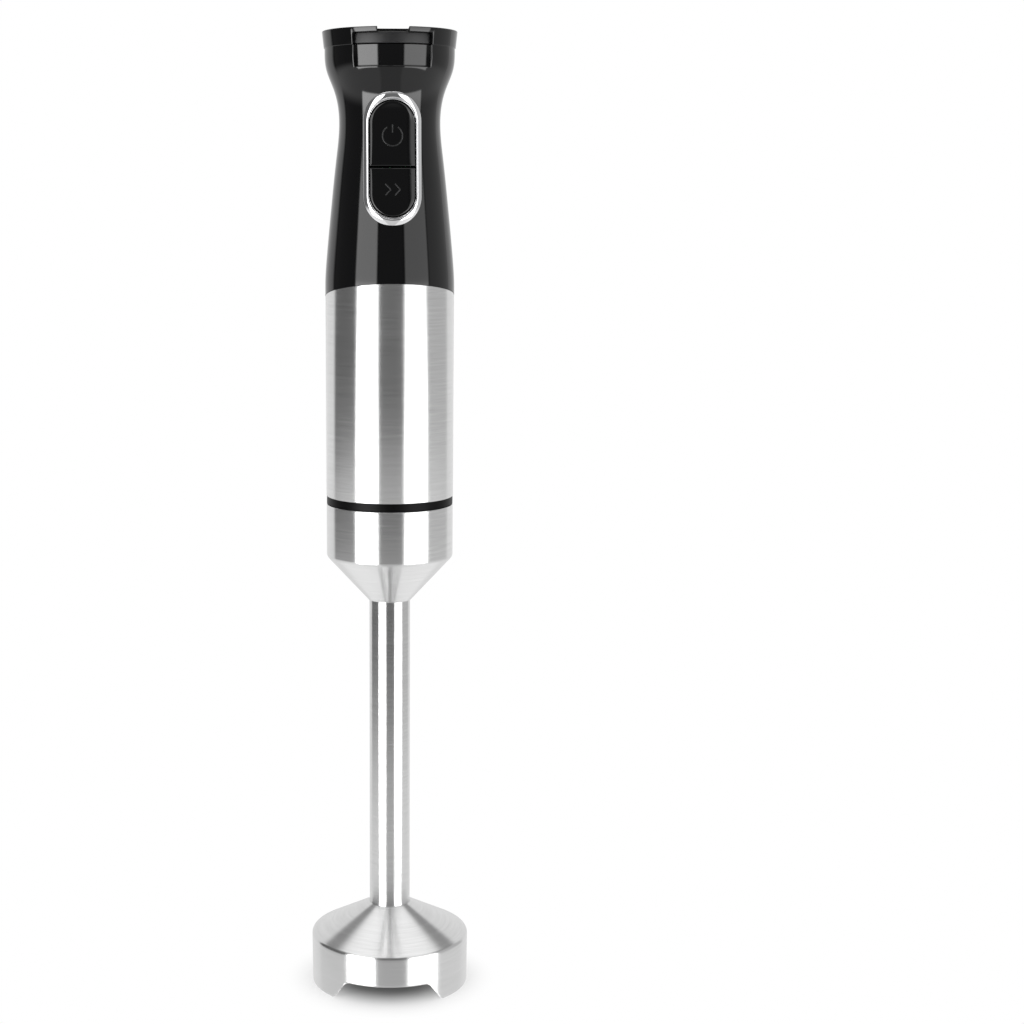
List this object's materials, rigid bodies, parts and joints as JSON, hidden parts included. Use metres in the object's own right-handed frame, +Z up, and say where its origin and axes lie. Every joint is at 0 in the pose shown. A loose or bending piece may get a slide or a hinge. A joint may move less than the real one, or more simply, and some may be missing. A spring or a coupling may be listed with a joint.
{
  "type": "immersion blender",
  "caption": "Slim immersion blender: black gloss handle with dial and two buttons, steel motor sleeve, twist-lock steel leg with bell guard and blade.",
  "frame": {"origin": "middle of the plane under the bell guard's feet, on the axis of the leg and motor", "axes": "+Z up along the axis to the cap, -Y is the side with the buttons, +X to the right seen from the buttons"},
  "size_m": [0.0676, 0.0676, 0.404],
  "materials": {
    "handle_gloss": "high gloss",
    "bezel_chrome": "mirror",
    "brushed_steel": "brushed round",
    "black_ring": "satin",
    "inner_plastic": "moulded",
    "cast_alloy": "die cast",
    "bearing_steel": "ground",
    "lamination": "varnished laminations",
    "copper_wire": "enamelled copper",
    "soft_rubber": "matt",
    "brass": "machined",
    "carbon": "matt carbon",
    "board": "lacquered laminate",
    "capacitor_case": "moulded",
    "dial_satin": "satin",
    "button_satin": "semi-gloss",
    "blade_steel": "ground"
  },
  "bodies": {
    "motor_unit": {"top_cap": "handle_gloss", "handle_front_shell": "handle_gloss", "handle_rear_shell": "handle_gloss", "button_bezel": "bezel_chrome", "motor_sleeve": "brushed_steel", "coupling_ring": "black_ring", "motor_carrier": "inner_plastic", "lower_bracket": "cast_alloy", "upper_bracket": "cast_alloy", "lower_bearing": "bearing_steel", "upper_bearing": "bearing_steel", "stator_core": "lamination", "field_coils": "copper_wire", "damper_rings": "soft_rubber", "brush_holders": "brass", "carbon_brushes": "carbon", "brush_springs": "bearing_steel", "motor_bolts": "bearing_steel", "circuit_board": "board", "board_screws": "bearing_steel", "power_switch": "inner_plastic", "turbo_switch": "inner_plastic", "capacitor": "capacitor_case", "speed_potentiometer": "inner_plastic", "cord_gland": "soft_rubber", "shell_screws": "bearing_steel"},
    "rotor": {"motor_shaft": "bearing_steel", "armature_core": "lamination", "armature_windings": "copper_wire", "commutator": "copper_wire", "cooling_fan": "inner_plastic", "drive_coupling": "inner_plastic"},
    "dial": {"speed_dial": "dial_satin", "dial_spindle": "inner_plastic"},
    "power_key": {"power_button": "button_satin", "power_plunger": "inner_plastic"},
    "turbo_key": {"turbo_button": "button_satin", "turbo_plunger": "inner_plastic"},
    "blending_leg": {"leg_collar": "brushed_steel", "leg_socket": "black_ring", "leg_tube": "brushed_steel", "bell_guard": "brushed_steel", "upper_bush": "brass", "lower_bush": "brass", "shaft_seal": "soft_rubber", "collar_seal": "soft_rubber"},
    "blade_shaft": {"drive_shaft": "bearing_steel", "shaft_coupling": "bearing_steel", "blade": "blade_steel", "blade_hub": "blade_steel"}
  },
  "joints": [
    {"name": "rotor_spin", "type": "hinge", "parent": "motor_unit", "child": "rotor", "pos_m": [0, 0, 0.25], "axis": [0, 0, 1], "continuous": true},
    {"name": "blade_spin", "type": "hinge", "parent": "blending_leg", "child": "blade_shaft", "pos_m": [0, 0, 0.1], "axis": [0, 0, 1], "continuous": true},
    {"name": "leg_twist", "type": "hinge", "parent": "motor_unit", "child": "blending_leg", "pos_m": [0, 0, 0.2], "axis": [0, 0, 1], "range_deg": [0, 30]},
    {"name": "dial_turn", "type": "hinge", "parent": "motor_unit", "child": "dial", "pos_m": [0, 0, 0.4], "axis": [0, 0, 1], "range_deg": [-140, 140]},
    {"name": "power_press", "type": "slide", "parent": "motor_unit", "child": "power_key", "axis": [0, 1, 0], "range_m": [0, 0.0015], "stiffness_N_per_m": 1200, "springref_m": -0.0015},
    {"name": "turbo_press", "type": "slide", "parent": "motor_unit", "child": "turbo_key", "axis": [0, 1, 0], "range_m": [0, 0.0015], "stiffness_N_per_m": 1200, "springref_m": -0.0015}
  ],
  "couplings": [
    {"joint": "blade_spin", "follows": "rotor_spin", "ratio": 1}
  ]
}
